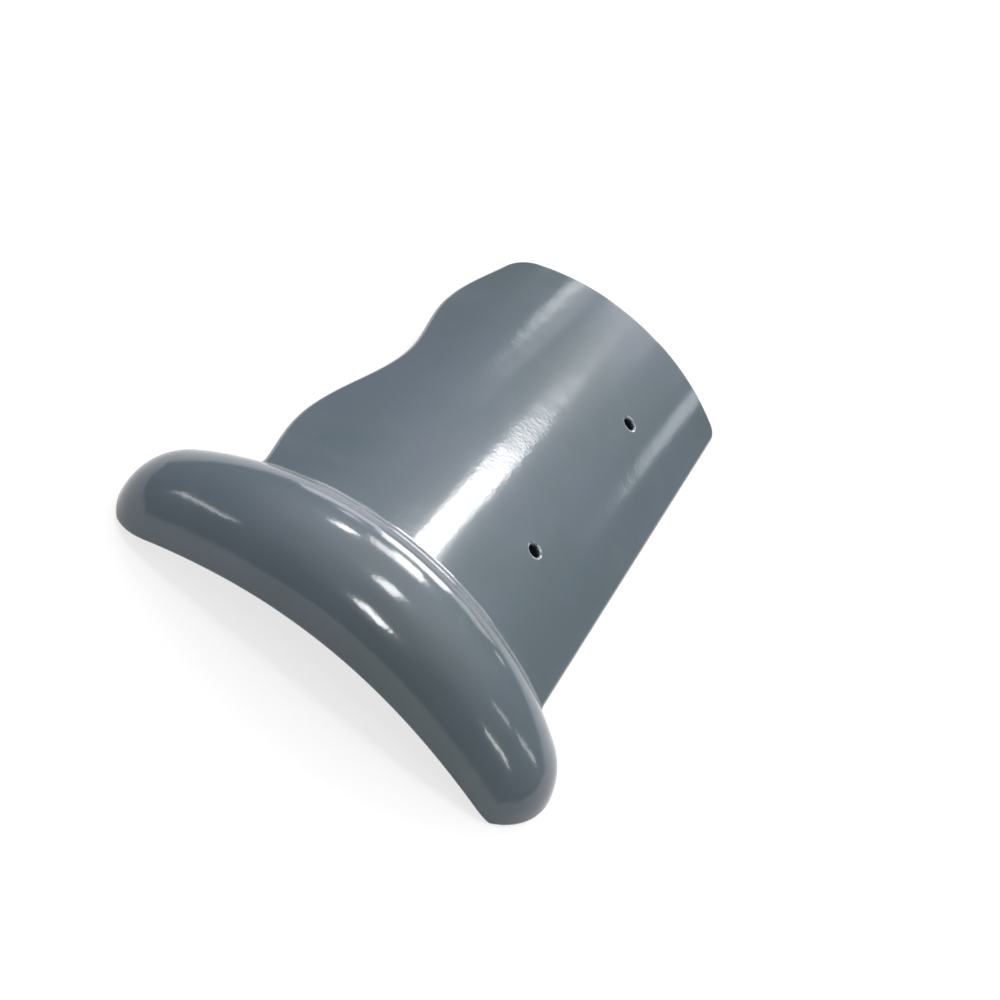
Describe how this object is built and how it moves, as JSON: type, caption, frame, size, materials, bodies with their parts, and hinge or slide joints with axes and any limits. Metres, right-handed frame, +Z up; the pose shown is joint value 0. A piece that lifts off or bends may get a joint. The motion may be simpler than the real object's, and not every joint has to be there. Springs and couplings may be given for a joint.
{
  "type": "wall abutment ridge tile",
  "caption": "Glazed clay ridge tile for a roof that meets a wall: tapering barrel with a rounded overlapping collar, one straight nailed edge and one wavy edge",
  "frame": {"origin": "on the floor, under the middle of the tile's bounding box, as it lies with its hollow side down", "axes": "+Z up; +Y from the collar to the plain back end, which is the tile's length along the ridge; +X towards the wall"},
  "size_m": [0.271, 0.3726, 0.0744],
  "materials": {
    "glaze": "gloss"
  },
  "bodies": {
    "root": {"ridge_tile": "glaze"}
  },
  "joints": []
}
